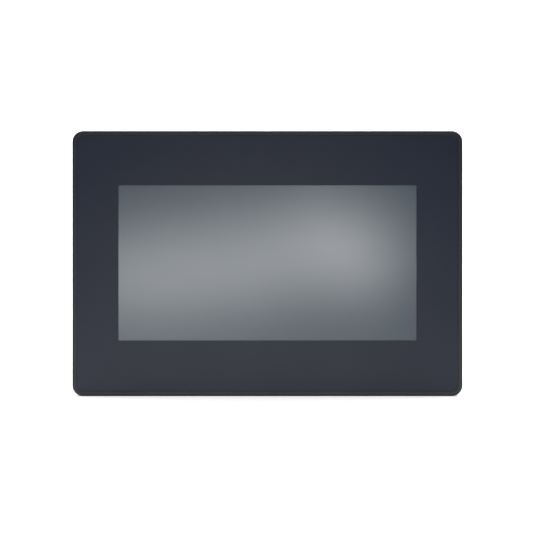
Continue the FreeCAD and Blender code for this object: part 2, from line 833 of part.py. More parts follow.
def power_parts():
    """The supply's two inductors and four can capacitors."""
    coil = new_body("inductor")
    outline = sketch(coil, "front", 0)
    rectangle(outline, 10, 10, corner=2.2)
    pad(coil, outline, 4.6, reverse=True)
    soften(coil, "Fillet", 0.6, flat_edge(1, 4.6))
    copies("power_inductors", coil, [(-62, board_back, -5), (-62, board_back, 9)])

    can = new_body("capacitor")
    foot = sketch(can, "front", 0)
    rectangle(foot, 8.4, 8.4, corner=0.8)
    pad(can, foot, 0.9, reverse=True)
    sleeve = sketch(can, "front", 0.9)
    circle(sleeve, 4)
    pad(can, sleeve, 9.3, reverse=True)
    soften(can, "Fillet", 0.5, flat_edge(1, 10.2))
    places = [(x, board_back, z) for x in (-73, -62) for z in (24, 36)]
    copies("capacitors", can, places)


def buzzer():
    """The sounder, a drum with a small port."""
    body = new_body("buzzer")
    drum = sketch(body, "front", board_back)
    circle(drum, 6, 10, 44)
    pad(body, drum, 8.4, reverse=True)
    soften(body, "Fillet", 0.6, flat_edge(1, board_back + 8.4))
    hole = sketch(body, "front", board_back + 8.4)
    circle(hole, 1.1, 10, 44)
    pocket(body, hole, 2, reverse=True)
    node(body, "buzzer")


def clock_battery():
    """The clock's coin cell in its holder."""
    body = new_body("cell_holder")
    outline = sketch(body, "front", board_back)
    rectangle(outline, 22.6, 22.6, battery_x, battery_z, 2)
    pad(body, outline, 4.4, reverse=True)
    well = sketch(body, "front", board_back + 4.4)
    circle(well, 10.2, battery_x, battery_z)
    pocket(body, well, 3.6, reverse=True)
    finger = sketch(body, "front", board_back + 4.4)
    rectangle(finger, 8, 6, battery_x, battery_z - 10, 1)
    pocket(body, finger, 3.0, reverse=True)
    node(body, "cell_holder")
    cell_solid = new_body("coin_cell")
    disc = sketch(cell_solid, "front", board_back + 0.85)
    circle(disc, 10, battery_x, battery_z)
    pad(cell_solid, disc, 3.2, reverse=True)
    soften(cell_solid, "Fillet", 0.3, flat_edge(1, board_back + 4.05))
    node(cell_solid, "coin_cell")


def flex_sockets():
    """The two ribbon sockets on the board's front."""
    y = board_front - socket_depth
    touch_socket = block("touch_socket", tail_width + 3, socket_height, socket_depth, tail_x, y, socket_z)
    across = display_flex_width + 4
    display_socket = block("display_socket", across, socket_height, socket_depth, display_flex_x, y, socket_z)
    node(together("flex_sockets", touch_socket, display_socket), "flex_sockets")


# ---------------------------------------------------------------- connectors


def shell(label, width, depth, length, x, y, low, cavity, corner=None):
    """A connector body that faces down: its mouth is at low, and cavity is (width, depth, length, u, v)."""
    body = new_body(label)
    outline = sketch(body, "level", low)
    rectangle(outline, width, depth, x, y, corner)
    pad(body, outline, length)
    inside = sketch(body, "level", low)
    rectangle(inside, cavity[0], cavity[1], x, y)
    pocket(body, inside, cavity[2], reverse=True)
    return body


def network_and_usb():
    """The network jack and the two USB sockets."""
    y = board_back + 6.7
    body = shell("ethernet_jack", 16.0, 13.4, 21, ethernet_x, y, mouth_z, (11.8, 7.0, 14))
    latch = sketch(body, "level", mouth_z)
    rectangle(latch, 6.2, 2.4, ethernet_x, y + 4.7)
    pocket(body, latch, 9, reverse=True)
    contact = sketch(body, "level", mouth_z + 13)
    rectangle(contact, 0.5, 1.0, ethernet_x - 3.57, y - 3.0)
    row_of(body, pad(body, contact, 9, reverse=True), contact, "H_Axis", 7.14, 8)
    node(body, "ethernet_jack")

    y = board_back + 3.1
    low = mouth_z - 0.8
    body = shell("usb_host_port", 13.2, 5.7, 14, usb_host_x, y, low, (12.5, 5.0, 10), 0.6)
    tongue = sketch(body, "level", low + 10)
    rectangle(tongue, 11.1, 1.9, usb_host_x, y + 1.0)
    pad(body, tongue, 9, reverse=True)
    node(body, "usb_host_port")

    y = board_back + 2.2
    low = mouth_z - 0.4
    body = shell("usb_device_port", 7.8, 4.0, 9.4, usb_device_x, y, low, (7.1, 3.3, 7), 0.8)
    tongue = sketch(body, "level", low + 7)
    rectangle(tongue, 4.8, 0.9, usb_device_x, y - 0.3)
    pad(body, tongue, 6, reverse=True)
    node(body, "usb_device_port")


def d_outline(drawing, inset):
    """The D shape of a nine-pin connector's shell, less an inset all round."""
    wide, narrow, half = 8.4 - inset, 6.9 - inset, 4.15 - inset
    low, high = com_y - half, com_y + half
    near_side = [(com_x - narrow, low), (com_x + narrow, low)]
    far_side = [(com_x + wide, high), (com_x - wide, high)]
    polygon(drawing, near_side + far_side)


def com_port():
    """The nine-pin serial port behind the bay's roof, and its two hexagonal jack screws."""
    flange_top = roof_inside + 0.6
    body = new_body("com_port")
    flange = sketch(body, "level", roof_inside)
    rectangle(flange, 30.8, 12.4, com_x, com_y, 1.5)
    for side in (1, -1):
        circle(flange, 1.6, com_x + side * com_screw_pitch / 2, com_y)
    pad(body, flange, flange_top - roof_inside)
    rear = sketch(body, "level", flange_top)
    rectangle(rear, 19.2, 11.0, com_x, com_y, 0.6)
    pad(body, rear, 9)
    wall_of_shell = sketch(body, "level", roof_inside)
    d_outline(wall_of_shell, 0.0)
    d_outline(wall_of_shell, 0.45)
    pad(body, wall_of_shell, 5.9, reverse=True)
    for count, row_y in ((5, com_y + 1.42), (4, com_y - 1.42)):
        pins = sketch(body, "level", roof_inside)
        circle(pins, 0.5, com_x - 1.385 * (count - 1), row_y)
        row_of(body, pad(body, pins, 5.3, reverse=True), pins, "H_Axis", 2.77 * (count - 1), count)
    node(body, "com_port")

    post = new_body("jack_screw")
    head = sketch(post, "level", bay_roof)
    hexagon(head, 4.8)
    pad(post, head, 5.5, reverse=True)
    stem = sketch(post, "level", bay_roof)
    circle(stem, 1.45)
    pad(post, stem, 4.6)
    bore = sketch(post, "level", bay_roof - 5.5)
    circle(bore, 1.1)
    pocket(post, bore, 5, reverse=True)
    copies("jack_screws", post, [(com_x + side * com_screw_pitch / 2, com_y, 0) for side in (1, -1)])


def power_inlet():
    """The three-pole supply header, its pull-off plug and the plug's wire clamps."""
    low = mouth_z - 0.8
    body = shell("power_header", 18, 9, 12, plug_x, plug_y, low, (16, 7, 9), 0.4)
    pin = sketch(body, "level", low + 9)
    rectangle(pin, 1.0, 1.0, plug_x - pole_pitch, plug_y)
    row_of(body, pad(body, pin, 7, reverse=True), pin, "H_Axis", 2 * pole_pitch, 3)
    node(body, "power_header")

    front, depth = board_back + 0.4, 11.2
    body = new_body("power_plug")
    grip = sketch(body, "level", low - 0.05)
    rectangle(grip, 15.6, depth, plug_x, front + depth / 2, 0.4)
    pad(body, grip, 11, reverse=True)
    nose = sketch(body, "level", low - 0.05)
    rectangle(nose, 15.4, 6.4, plug_x, plug_y, 0.3)
    pad(body, nose, 8.7)
    socket = sketch(body, "level", low + 8.65)
    rectangle(socket, 1.5, 1.5, plug_x - pole_pitch, plug_y)
    row_of(body, pocket(body, socket, 7.6), socket, "H_Axis", 2 * pole_pitch, 3)
    entry = sketch(body, "level", low - 11.05)
    entry_y = front + 3.3
    rectangle(entry, 3.8, 4.2, plug_x - pole_pitch, entry_y, 0.4)
    row_of(body, pocket(body, entry, 7.5, reverse=True), entry, "H_Axis", 2 * pole_pitch, 3)
    well = sketch(body, "front", front + depth)
    well_z = low - 7
    circle(well, 2.15, plug_x - pole_pitch, well_z)
    row_of(body, pocket(body, well, depth - 5.4, reverse=True), well, "H_Axis", 2 * pole_pitch, 3)
    node(body, "power_plug")

    clamp = new_body("terminal_screw")
    pressure_plate = sketch(clamp, "front", 0)
    rectangle(pressure_plate, 3.4, 3.2)
    pad(clamp, pressure_plate, 0.6)
    stem = sketch(clamp, "front", 0)
    circle(stem, 1.2)
    pad(clamp, stem, 1.6, reverse=True)
    head = sketch(clamp, "front", 1.6)
    circle(head, 1.95)
    pad(clamp, head, 2.0, reverse=True)
    slot = sketch(clamp, "front", 3.6)
    rectangle(slot, 4.2, 0.7)
    pocket(clamp, slot, 0.9, reverse=True)
    places = [(plug_x + pole_pitch * i, front + 5.35, well_z) for i in (-1, 0, 1)]
    copies("plug_screws", clamp, places)


def switches():
    """The two-way setting switch and the reset button, both reached through the bay's roof."""
    low = bay_roof + 0.1
    body = new_body("dip_switch")
    outline = sketch(body, "level", low)
    rectangle(outline, 7.6, 5.8, dip_x, dip_y)
    pad(body, outline, 7.9)
    ways = sketch(body, "level", low)
    for side in (1, -1):
        rectangle(ways, 1.5, 3.8, dip_x + side * dip_pitch / 2, dip_y)
    pocket(body, ways, 1.6, reverse=True)
    node(body, "dip_switch")
    for i, side in enumerate((-1, 1)):
        label = f"dip_slider_{i + 1}"
        tab = new_body(label)
        outline = sketch(tab, "level", low - 0.7)
        rectangle(outline, 1.2, 1.7, dip_x + side * dip_pitch / 2, dip_y - 0.9)
        pad(tab, outline, 2.2)
        soften(tab, "Chamfer", 0.15, flat_edge(2, low - 0.7))
        node(tab, label)

    body = new_body("reset_switch")
    low = roof_inside + 0.5
    outline = sketch(body, "level", low)
    rectangle(outline, 6.2, 6.2, reset_x, reset_y, 0.4)
    circle(outline, 1.75, reset_x, reset_y)
    pad(body, outline, 1.2)
    rest = sketch(body, "level", low + 1.2)
    rectangle(rest, 6.2, 6.2, reset_x, reset_y, 0.4)
    pad(body, rest, 2.8)
    node(body, "reset_switch")
    body = new_body("reset_button")
    stem = sketch(body, "level", bay_roof - 1.0)
    circle(stem, 1.6, reset_x, reset_y)
    pad(body, stem, 4.6)
    soften(body, "Fillet", 0.3, flat_edge(2, bay_roof - 1.0))
    node(body, "reset_button")


# ---------------------------------------------------------------- rear


def rear_cover():
    """The moulded housing: a box round the board, stepped in below it to make the cable bay."""
    body = cover_shell()
    screw_posts(body)
    port_openings(body)
    vents(body)
    clamp_slots(body)
    battery_opening(body)
    recess = sketch(body, "front", cover_back)
    rectangle(recess, label_width, label_height, label_x, label_z, 1.5)
    pocket(body, recess, 0.3, reverse=True)
    node(body, "rear_cover")


def cover_shell():
    """The housing's walls, the cable bay's roof and floor, and the lip that enters the bezel's skirt."""
    body = new_body("rear_cover")
    outline = sketch(body, "front", cover_front)
    rectangle(outline, housing_width, housing_height, corner=housing_corner)
    pad(body, outline, cover_back - cover_front, reverse=True)
    soften(body, "Fillet", cover_edge, flat_edge(1, cover_back))

    rim_width = inner_width - 2 * (small_gap + lip_thick)
    rim_height = inner_height - 2 * (small_gap + lip_thick)
    floor = bay_floor - wall
    mouth = sketch(body, "front", cover_front)
    rectangle(mouth, rim_width, rim_height, corner=1.2)
    pocket(body, mouth, floor - cover_front)

    a, b = inner_width / 2, inner_height / 2
    c = bay_width / 2 + wall
    room = sketch(body, "front", floor)
    bay_side = [(-a, -b), (-c, -b), (-c, roof_inside), (c, roof_inside), (c, -b), (a, -b)]
    polygon(room, bay_side + [(a, b), (-a, b)])
    pocket(body, room, back_inside - floor)

    bay = sketch(body, "front", bay_floor)
    depth = bay_roof + housing_height / 2
    rectangle(bay, bay_width, depth + 2, 0, bay_roof - depth / 2 - 1)
    pocket(body, bay, cover_back - bay_floor)

    lip = sketch(body, "front", cover_front)
    gap = 2 * small_gap
    rectangle(lip, inner_width - gap, inner_height - gap, corner=inner_corner - small_gap)
    rectangle(lip, rim_width, rim_height, corner=1.2)
    pad(body, lip, lip_reach)
    return body


def screw_posts(body):
    """The four corner posts with their screw holes."""
    posts = sketch(body, "front", cover_front)
    for x, z in four(post_x, post_z):
        circle(posts, post_radius, x, z)
    pad(body, posts, back_inside - cover_front, reverse=True)
    sinks = sketch(body, "front", cover_back)
    for x, z in four(post_x, post_z):
        circle(sinks, head_hole, x, z)
    pocket(body, sinks, head_sink, reverse=True)
    holes = sketch(body, "front", cover_back)
    for x, z in four(post_x, post_z):
        circle(holes, post_hole, x, z)
    pocket(body, holes, cover_back - cover_front, reverse=True)


def cover_fittings():
    """The four long cover screws and the rating label in its recess."""
    fixing = cross_head_screw("cover_screw", 31)
    seat = cover_back - head_sink
    copies("cover_screws", fixing, [(x, seat, z) for x, z in four(post_x, post_z)])
    plate(
        "rating_label",
        label_width - 0.6,
        label_height - 0.6,
        cover_back - 0.3,
        0.2,
        x=label_x,
        z=label_z,
        corner=1.2,
    )


def port_openings(body):
    """Openings for the connectors and switches in the bay's roof."""
    ports = sketch(body, "level", roof_inside)
    near = board_back - 0.3
    # Centre x, width and depth back from the board of each opening
    for x, width, depth in [
        (plug_x, 18.5, 9.6),
        (dip_x, 8.1, 6.2),
        (usb_device_x, 8.4, 4.9),
        (usb_host_x, 13.8, 6.6),
        (ethernet_x, 16.4, 14.0),
    ]:
        rectangle(ports, width, depth, x, near + size(depth) / 2, 0.5)
    circle(ports, 2.0, reset_x, reset_y)
    rectangle(ports, 17.6, 9.2, com_x, com_y, 1.5)
    for side in (1, -1):
        circle(ports, 1.6, com_x + side * com_screw_pitch / 2, com_y)
    pocket(body, ports, wall)


def vents(body):
    """Rows of cooling slots in the back wall and in the top wall."""
    slot = sketch(body, "front", cover_back)
    rectangle(slot, 2.2, 15, -70, 44.5, 1.0)
    row_of(body, pocket(body, slot, wall, reverse=True), slot, "H_Axis", 88, 21)
    slot = sketch(body, "level", housing_height / 2)
    rectangle(slot, 2.2, 12, -58, 19, 1.0)
    row_of(body, pocket(body, slot, wall), slot, "H_Axis", 72, 17)


def clamp_slots(body):
    """Slots for the clamps' hooks, two in the top wall and two in the bottom wall."""
    for side in (1, -1):
        slot = sketch(body, "level", side * housing_height / 2)
        for x in (clamp_x, -clamp_x):
            rectangle(slot, clamp_width + 0.6, slot_length, x, slot_front + slot_length / 2, 0.4)
        pocket(body, slot, wall, reverse=side < 0)


def battery_opening(body):
    """The hatch's stepped guide in the back wall, and the opening behind it to reach the cell."""
    reach = housing_height / 2 - hatch_low + 1
    middle = hatch_low + reach / 2
    upper = sketch(body, "front", cover_back)
    rectangle(upper, hatch_width + 0.3, reach, battery_x, middle)
    pocket(body, upper, hatch_top_thick + hatch_tongue, reverse=True)
    track = hatch_tongue + 0.1
    guide = sketch(body, "front", cover_back - hatch_top_thick - hatch_tongue)
    rectangle(guide, hatch_width + 2.4, reach, battery_x, middle)
    pocket(body, guide, track)
    access = sketch(body, "front", cover_back)
    rectangle(access, 24.4, 24.4, battery_x, battery_z, 1)
    pocket(body, access, wall, reverse=True)


def battery_cover():
    """The sliding hatch over the clock's cell, with a ribbed thumb grip."""
    body = new_body("battery_cover")
    height = hatch_high - hatch_low - 0.2
    middle = hatch_low + 0.2 + height / 2
    top = sketch(body, "front", cover_back - 0.05)
    rectangle(top, hatch_width, height, battery_x, middle)
    pad(body, top, hatch_top_thick)
    tongue = sketch(body, "front", cover_back - hatch_top_thick - 0.05)
    rectangle(tongue, hatch_width + 2, height, battery_x, middle)
    pad(body, tongue, hatch_tongue - 0.1)
    rib = sketch(body, "front", cover_back - 0.05)
    rectangle(rib, 12, 0.8, battery_x, hatch_low + 4)
    row_of(body, pad(body, rib, 0.5, reverse=True), rib, "V_Axis", 7.2, 5)
    node(body, "battery_cover")


# ---------------------------------------------------------------- clamps


def clamp_axis_z():
    """The height of a clamp screw's axis, for a clamp on the top wall."""
    return housing_height / 2 + clamp_axis


def clamp_block_body():
    """A clamp's block on the top wall at x = 0, with the hook that goes through the wall's slot."""
    top = housing_height / 2
    neck_back = slot_front + slot_length - 0.05
    bracket = new_body("clamp_bracket")
    outline = sketch(bracket, "side", -clamp_width / 2)
    low, high = top + 0.05, top + clamp_height
    hook_top = top - wall - 0.05
    neck_front, block_back = neck_back - neck_length, slot_front + clamp_block
    hook_low, hook_back = hook_top - hook_thick, neck_back + 3.4
    polygon(
        outline,
        [
            (slot_front, low),
            (neck_front, low),
            (neck_front, hook_low),
            (hook_back, hook_low),
            (hook_back, hook_top),
            (neck_back, hook_top),
            (neck_back, low),
            (block_back, low),
            (block_back, high),
            (slot_front, high),
        ],
    )
    pad(bracket, outline, clamp_width)
    soften(bracket, "Fillet", 1.0, flat_edge(2, high))
    thread = sketch(bracket, "front", slot_front)
    circle(thread, 2.1, 0, clamp_axis_z())
    pocket(bracket, thread, clamp_block)
    return bracket


def clamp_screw_body():
    """A clamp's slotted screw."""
    axis_z = clamp_axis_z()
    screw = new_body("clamp_screw")
    shank = sketch(screw, "front", foot_front + 1.5)
    circle(shank, 2.0, 0, axis_z)
    pad(screw, shank, 23, reverse=True)
    head = sketch(screw, "front", foot_front + 24.5)
    circle(head, 3.4, 0, axis_z)
    pad(screw, head, 2.6, reverse=True)
    soften(screw, "Fillet", 0.8, flat_edge(1, foot_front + 27.1))
    slot = sketch(screw, "front", foot_front + 27.1)
    rectangle(slot, 7, 1.1, 0, axis_z)
    pocket(screw, slot, 1.3, reverse=True)
    return screw


def clamp_foot_body():
    """The swivel foot that a clamp's screw presses on the cabinet's sheet."""
    axis_z = clamp_axis_z()
    foot = new_body("clamp_foot")
    disc = sketch(foot, "front", foot_front)
    circle(disc, foot_radius, 0, axis_z)
    pad(foot, disc, 1.4, reverse=True)
    soften(foot, "Fillet", 0.3, flat_edge(1, foot_front))
    collar = sketch(foot, "front", foot_front + 1.4)
    circle(collar, 2.9, 0, axis_z)
    pad(foot, collar, 2.2, reverse=True)
    socket = sketch(foot, "front", foot_front + 3.6)
    circle(socket, 2.1, 0, axis_z)
    pocket(foot, socket, 2.2, reverse=True)
    return foot


def clamps():
    """The four clamps: 1 and 2 on the top wall, 3 and 4 on the bottom wall."""
    masters = {"bracket": clamp_block_body(), "screw": clamp_screw_body(), "foot": clamp_foot_body()}
    over = Rotation(Vector(0, 1, 0), 180)
    places = [(-clamp_x, None), (clamp_x, None), (clamp_x, over), (-clamp_x, over)]
    for i, (x, rotation) in enumerate(places):
        for part, master in masters.items():
            copies(f"clamp_{i + 1}_{part}", master, [(x, 0, 0, rotation)])


# ---------------------------------------------------------------- build


def check_and_write():
    """Stops if any object is unsound, then writes one STEP file per sub-part."""
    doc.recompute()
    for thing in doc.Objects:
        state = set(thing.State) & {"Invalid", "Error"}
        if state:
            raise RuntimeError(f"{thing.Name} is {state}")
    os.makedirs("parts", exist_ok=True)
    for thing in nodes:
        if thing.Shape.isNull() or not thing.Shape.isValid():
            raise RuntimeError(f"{thing.Label} has no valid shape")
        thing.Shape.exportStep(f"parts/{thing.Label}.step")
    print(f"{len(nodes)} sub-parts written")


front_bezel()
front_overlay()
touch_panel()
panel_gasket()
module_frame()
module_sheets()
module_tray()
tails()
display_bracket()
main_board()
processor_and_cooler()
chips_and_passives()
power_parts()
buzzer()
clock_battery()
flex_sockets()
network_and_usb()
com_port()
power_inlet()
switches()
rear_cover()
cover_fittings()
battery_cover()
clamps()
check_and_write()
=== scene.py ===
"""The operator touch panel's looks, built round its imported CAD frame. Metres, in the CAD's own frame."""

import json
import math

import bmesh
import bpy
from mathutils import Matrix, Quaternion, Vector


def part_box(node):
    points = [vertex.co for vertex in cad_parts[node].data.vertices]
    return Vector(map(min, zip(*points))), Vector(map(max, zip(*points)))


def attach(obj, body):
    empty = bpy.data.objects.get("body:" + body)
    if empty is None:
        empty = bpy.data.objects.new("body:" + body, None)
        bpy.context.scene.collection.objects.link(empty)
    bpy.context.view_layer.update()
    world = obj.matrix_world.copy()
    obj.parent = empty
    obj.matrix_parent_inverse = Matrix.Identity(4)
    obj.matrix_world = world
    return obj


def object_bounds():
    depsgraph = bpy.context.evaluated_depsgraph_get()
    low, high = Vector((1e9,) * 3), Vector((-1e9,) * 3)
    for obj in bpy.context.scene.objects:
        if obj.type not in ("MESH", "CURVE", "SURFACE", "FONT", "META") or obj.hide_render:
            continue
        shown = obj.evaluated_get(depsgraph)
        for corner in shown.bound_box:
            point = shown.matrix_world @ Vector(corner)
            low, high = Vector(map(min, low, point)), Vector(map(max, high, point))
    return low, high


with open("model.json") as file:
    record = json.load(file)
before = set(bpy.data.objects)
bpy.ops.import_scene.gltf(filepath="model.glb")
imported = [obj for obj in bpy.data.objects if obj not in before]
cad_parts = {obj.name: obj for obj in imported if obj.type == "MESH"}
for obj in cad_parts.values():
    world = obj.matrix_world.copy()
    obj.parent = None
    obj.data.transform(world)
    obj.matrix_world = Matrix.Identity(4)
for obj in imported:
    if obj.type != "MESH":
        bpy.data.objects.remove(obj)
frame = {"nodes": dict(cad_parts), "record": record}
cad_box = [list(map(float, corner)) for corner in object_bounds()]
scene = bpy.context.scene
nodes = frame["nodes"]
MM = 0.001
ROOM = 0.05


# ---------------------------------------------------------------- node helpers


class Graph:
    """Short calls for building one material's node tree."""

    def __init__(self, name):
        self.material = bpy.data.materials.new(name)
        self.material.use_nodes = True
        self.tree = self.material.node_tree
        self.shader = self.tree.nodes["Principled BSDF"]
        self.places = self.new("ShaderNodeTexCoord").outputs["Object"]

    def new(self, kind, **settings):
        made = self.tree.nodes.new(kind)
        for key, value in settings.items():
            setattr(made, key, value)
        return made

    def feed(self, socket, value):
        if hasattr(value, "is_output"):
            self.tree.links.new(value, socket)
        else:
            socket.default_value = value

    def stretch(self, sizes, turn=(0, 0, 0), shift=(0, 0, 0)):
        """Object coordinates times sizes, for a texture longer one way than another."""
        mapping = self.new("ShaderNodeMapping")
        self.feed(mapping.inputs["Vector"], self.places)
        self.feed(mapping.inputs["Location"], shift)
        self.feed(mapping.inputs["Rotation"], turn)
        self.feed(mapping.inputs["Scale"], sizes)
        return mapping.outputs["Vector"]

    def noise(self, size, detail=3.0, rough=0.55, where=None, distort=0.0):
        """Noise whose features are about size metres across."""
        made = self.new("ShaderNodeTexNoise")
        self.feed(made.inputs["Vector"], where or self.places)
        self.feed(made.inputs["Scale"], 1.0 / size)
        self.feed(made.inputs["Detail"], detail)
        self.feed(made.inputs["Roughness"], rough)
        self.feed(made.inputs["Distortion"], distort)
        return made.outputs["Fac"]

    def cells(self, size, where=None):
        """Distance to the nearest of points scattered about size metres apart."""
        made = self.new("ShaderNodeTexVoronoi")
        self.feed(made.inputs["Vector"], where or self.places)
        self.feed(made.inputs["Scale"], 1.0 / size)
        return made.outputs["Distance"]

    def spread(self, value, low, high, to_low=0.0, to_high=1.0):
        """The range low to high of a value, clamped and carried to another range."""
        made = self.new("ShaderNodeMapRange")
        self.feed(made.inputs["Value"], value)
        limits = {"From Min": low, "From Max": high, "To Min": to_low, "To Max": to_high}
        for key, number in limits.items():
            self.feed(made.inputs[key], number)
        return made.outputs["Result"]

    def sums(self, how, a, b=0.0, c=0.0):
        made = self.new("ShaderNodeMath", operation=how)
        for socket, value in zip(made.inputs, (a, b, c)):
            self.feed(socket, value)
        return made.outputs[0]

    def axis(self, letter, where=None):
        made = self.new("ShaderNodeSeparateXYZ")
        self.feed(made.inputs[0], where or self.places)
        return made.outputs[letter]

    def mix(self, factor, first, second):
        made = self.new("ShaderNodeMix", data_type="RGBA")
        self.feed(made.inputs[0], factor)
        for socket, value in zip((made.inputs[6], made.inputs[7]), (first, second)):
            self.feed(socket, value if hasattr(value, "is_output") else (*value[:3], 1.0))
        return made.outputs[2]

    def bump(self, height, depth):
        """Relief of depth metres from a 0 to 1 height."""
        made = self.new("ShaderNodeBump")
        self.feed(made.inputs["Strength"], 1.0)
        self.feed(made.inputs["Distance"], depth)
        self.feed(made.inputs["Height"], height)
        return made.outputs["Normal"]

    def finish(self, colour, rough, metal=0.0, normal=None, **constants):
        base = colour if hasattr(colour, "is_output") else (*colour, 1.0)
        self.feed(self.shader.inputs["Base Color"], base)
        self.feed(self.shader.inputs["Roughness"], rough)
        self.feed(self.shader.inputs["Metallic"], metal)
        if normal is not None:
            self.feed(self.shader.inputs["Normal"], normal)
        for key, value in constants.items():
            self.shader.inputs[key.replace("_", " ")].default_value = value
        return self.material


def scaled(colour, by):
    return tuple(min(1.0, c * by) for c in colour)


# ---------------------------------------------------------------- materials


def moulded(name, colour, rough=0.45, grain=0.00035, relief=0.000012, cloud=0.12, specks=0.0, shine=0.5):
    """Moulded plastic: a fine eroded grain, slow changes of shade, and a polish that varies a little."""
    g = Graph(name)
    slow = g.noise(0.035, 4, 0.6)
    shade = g.mix(g.spread(slow, 0.3, 0.7), scaled(colour, 1 - cloud), scaled(colour, 1 + cloud))
    if specks:
        dust = g.spread(g.noise(grain * 1.6, 1, 0.4), 0.66, 0.72)
        shade = g.mix(g.sums("MULTIPLY", dust, specks), shade, scaled(colour, 2.2))
    texture = g.noise(grain, 2, 0.6)
    polish = g.spread(g.noise(0.012, 3), 0.3, 0.7, rough - 0.04, rough + 0.05)
    pits = g.sums("MULTIPLY", g.spread(g.cells(grain * 1.8), 0.0, 0.6), 0.5)
    height = g.sums("ADD", texture, pits)
    return g.finish(shade, polish, normal=g.bump(height, relief), Specular_IOR_Level=shine)


def rolled_metal(name, colour, rough=0.28, along=(1, 1, 1), relief=0.000004, stain=0.15, metal=1.0):
    """Plated or rolled metal: fine lines one way, dull patches, and faint handling marks."""
    g = Graph(name)
    lines = g.noise(0.0002, 2, 0.5, where=g.stretch(along))
    patches = g.noise(0.006, 4, 0.65, distort=0.4)
    shade = g.mix(g.spread(patches, 0.35, 0.75), colour, scaled(colour, 1 - stain))
    scratches = g.spread(g.noise(0.0012, 2, 0.6, where=g.stretch((1, 6, 1), (0.3, 0.5, 0.7))), 0.62, 0.66)
    base = g.spread(patches, 0.3, 0.75, rough - 0.06, rough + 0.12)
    polish = g.sums("ADD", base, g.sums("MULTIPLY", scratches, 0.12))
    return g.finish(shade, polish, metal, g.bump(lines, relief))


def coated(name, colour, rough=0.4, grain=0.0005, relief=0.00002):
    """Powder-coated or cast metal: orange-peel relief, with thin wear to bare metal in scattered specks."""
    g = Graph(name)
    peel = g.noise(grain, 3, 0.5)
    worn = g.spread(g.noise(0.0016, 5, 0.75), 0.70, 0.74)
    slow = g.noise(0.01, 3)
    shade = g.mix(g.spread(slow, 0.3, 0.7), scaled(colour, 0.85), scaled(colour, 1.25))
    shade = g.mix(worn, shade, (0.30, 0.30, 0.31))
    polish = g.spread(slow, 0.3, 0.7, rough - 0.05, rough + 0.08)
    return g.finish(shade, polish, g.sums("MULTIPLY", worn, 0.8), g.bump(peel, relief))


def overlay_print():
    """The overlay: matt-printed polyester with a very fine velvet texture and faint smudges."""
    g = Graph("overlay_print")
    slow = g.noise(0.05, 3, 0.5)
    shade = g.mix(g.spread(slow, 0.3, 0.7), (0.0065, 0.0108, 0.0245), (0.0075, 0.0118, 0.0260))
    velvet = g.noise(0.00022, 2, 0.6)
    smudge = g.spread(g.noise(0.028, 5, 0.7, distort=0.6), 0.45, 0.75)
    polish = g.sums("SUBTRACT", g.spread(velvet, 0.3, 0.7, 0.33, 0.41), g.sums("MULTIPLY", smudge, 0.03))
    return g.finish(shade, polish, normal=g.bump(velvet, 0.000006), Specular_IOR_Level=0.28)


def touch_surface():
    """The window: an unlit display under a hard-coated film, grey through its haze."""
    g = Graph("touch_surface")
    slow = g.noise(0.06, 2, 0.5)
    shade = g.mix(g.spread(slow, 0.35, 0.65), (0.048, 0.066, 0.086), (0.051, 0.069, 0.090))
    frost = g.noise(0.00012, 2, 0.6)
    wipes = g.spread(g.noise(0.01, 4, 0.65, where=g.stretch((1, 1, 4), (0, 0.5, 0)), distort=0.5), 0.5, 0.8)
    polish = g.sums("ADD", g.spread(frost, 0.3, 0.7, 0.165, 0.195), g.sums("MULTIPLY", wipes, 0.015))
    return g.finish(shade, polish, normal=g.bump(frost, 0.0000015))


def rubber():
    """Dusty black rubber."""
    g = Graph("seal_rubber")
    dust = g.noise(0.004, 5, 0.7)
    shade = g.mix(g.spread(dust, 0.4, 0.75), (0.018, 0.018, 0.019), (0.045, 0.045, 0.044))
    fine = g.noise(0.0003, 2)
    return g.finish(shade, g.spread(dust, 0.3, 0.7, 0.72, 0.86), normal=g.bump(fine, 0.00001))


def solder_mask():
    """The board: green mask over copper tracks that run in steps, and a spread of plated vias."""
    g = Graph("board_laminate")
    flat = g.stretch((1, 0, 1))
    track_x = g.new("ShaderNodeTexBrick", offset=0.35, squash=0.6)
    g.feed(track_x.inputs["Vector"], g.stretch((1, 1, 1), (math.pi / 2, 0, 0)))
    g.feed(track_x.inputs["Scale"], 380.0)
    g.feed(track_x.inputs["Mortar Size"], 0.09)
    g.feed(track_x.inputs["Brick Width"], 4.5)
    g.feed(track_x.inputs["Row Height"], 0.45)
    islands = g.spread(g.noise(0.009, 2, 0.5, where=flat), 0.47, 0.49)
    copper = g.sums("MULTIPLY", track_x.outputs["Fac"], islands)
    vias = g.spread(g.cells(0.0034, where=flat), 0.085, 0.10, 1.0, 0.0)
    rings = g.sums("MULTIPLY", vias, g.spread(g.noise(0.02, 1, where=flat), 0.48, 0.5))
    mask = g.mix(copper, (0.008, 0.085, 0.030), (0.018, 0.165, 0.055))
    shade = g.mix(rings, mask, (0.62, 0.55, 0.36))
    polish = g.spread(g.noise(0.01, 3), 0.3, 0.7, 0.24, 0.34)
    return g.finish(shade, polish, g.sums("MULTIPLY", rings, 0.9), g.bump(copper, 0.00003))


def ribbon_film():
    """Amber film with copper tracks along its length."""
    g = Graph("polyimide")
    stripes = g.sums("PINGPONG", g.axis("X"), 0.0005)
    shade = g.mix(g.spread(stripes, 0.0002, 0.0003), (0.45, 0.20, 0.035), (0.62, 0.33, 0.09))
    return g.finish(shade, g.spread(g.noise(0.003, 3), 0.3, 0.7, 0.2, 0.34), normal=g.bump(stripes, 0.01))


def clear_plastic(name, colour, rough):
    """Glossy glass or plastic sheet with a slight haze."""
    g = Graph(name)
    haze = g.noise(0.01, 3)
    shade = g.mix(g.spread(haze, 0.3, 0.7), scaled(colour, 0.93), colour)
    return g.finish(shade, g.spread(haze, 0.3, 0.7, rough, rough + 0.08))


